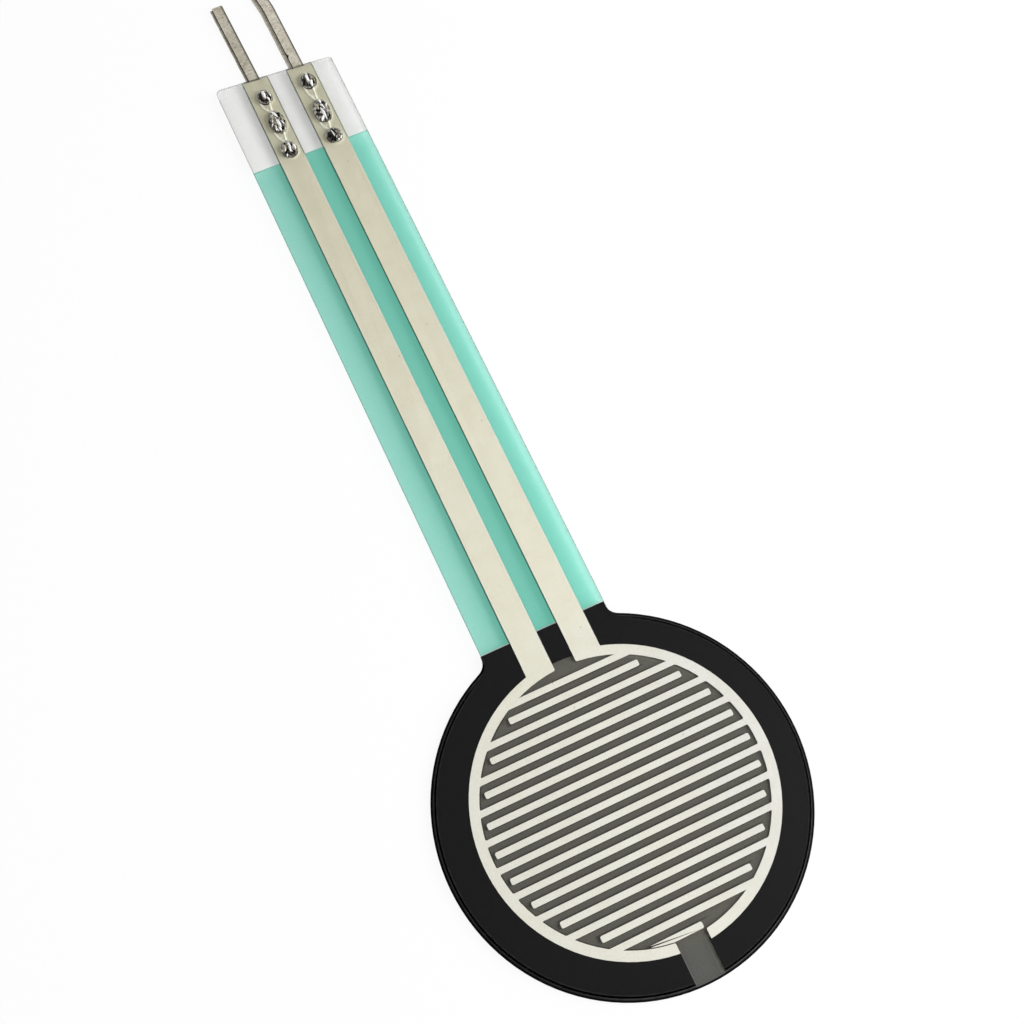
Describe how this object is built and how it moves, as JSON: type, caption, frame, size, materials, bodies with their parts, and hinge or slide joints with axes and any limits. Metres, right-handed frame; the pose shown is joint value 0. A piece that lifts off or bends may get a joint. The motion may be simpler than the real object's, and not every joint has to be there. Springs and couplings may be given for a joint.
{
  "type": "force sensing resistor",
  "caption": "Thin round pressure sensing pad of laminated films with printed silver fingers, on a flat tail that ends in two crimped solder tabs.",
  "frame": {"origin": "middle of the round pad, on the rear face of its adhesive, which is the face it lies on", "axes": "+Y along the tail towards the solder tabs, +Z out of the clear sensing face, +X across the tail, to the right when the sensing face is looked at with the tail up"},
  "size_m": [0.0182, 0.0582, 0.0008],
  "materials": {
    "clear_film": "gloss",
    "silver_print": "satin",
    "mint_coat": "satin",
    "black_spacer": "satin",
    "carbon_print": "matte",
    "dark_film": "satin",
    "rear_adhesive": "satin",
    "tinned_contact": "satin"
  },
  "bodies": {
    "root": {"front_film": "clear_film", "silver_tracks": "silver_print", "tail_side_finger_01": "silver_print", "tail_side_finger_02": "silver_print", "tail_side_finger_03": "silver_print", "tail_side_finger_04": "silver_print", "tail_side_finger_05": "silver_print", "vent_side_finger_05": "silver_print", "vent_side_finger_04": "silver_print", "vent_side_finger_03": "silver_print", "vent_side_finger_02": "silver_print", "vent_side_finger_01": "silver_print", "tail_coat": "mint_coat", "spacer_ring": "black_spacer", "carbon_pad": "carbon_print", "sensing_film": "dark_film", "rear_adhesive": "rear_adhesive", "left_contact": "tinned_contact", "right_contact": "tinned_contact"}
  },
  "joints": []
}
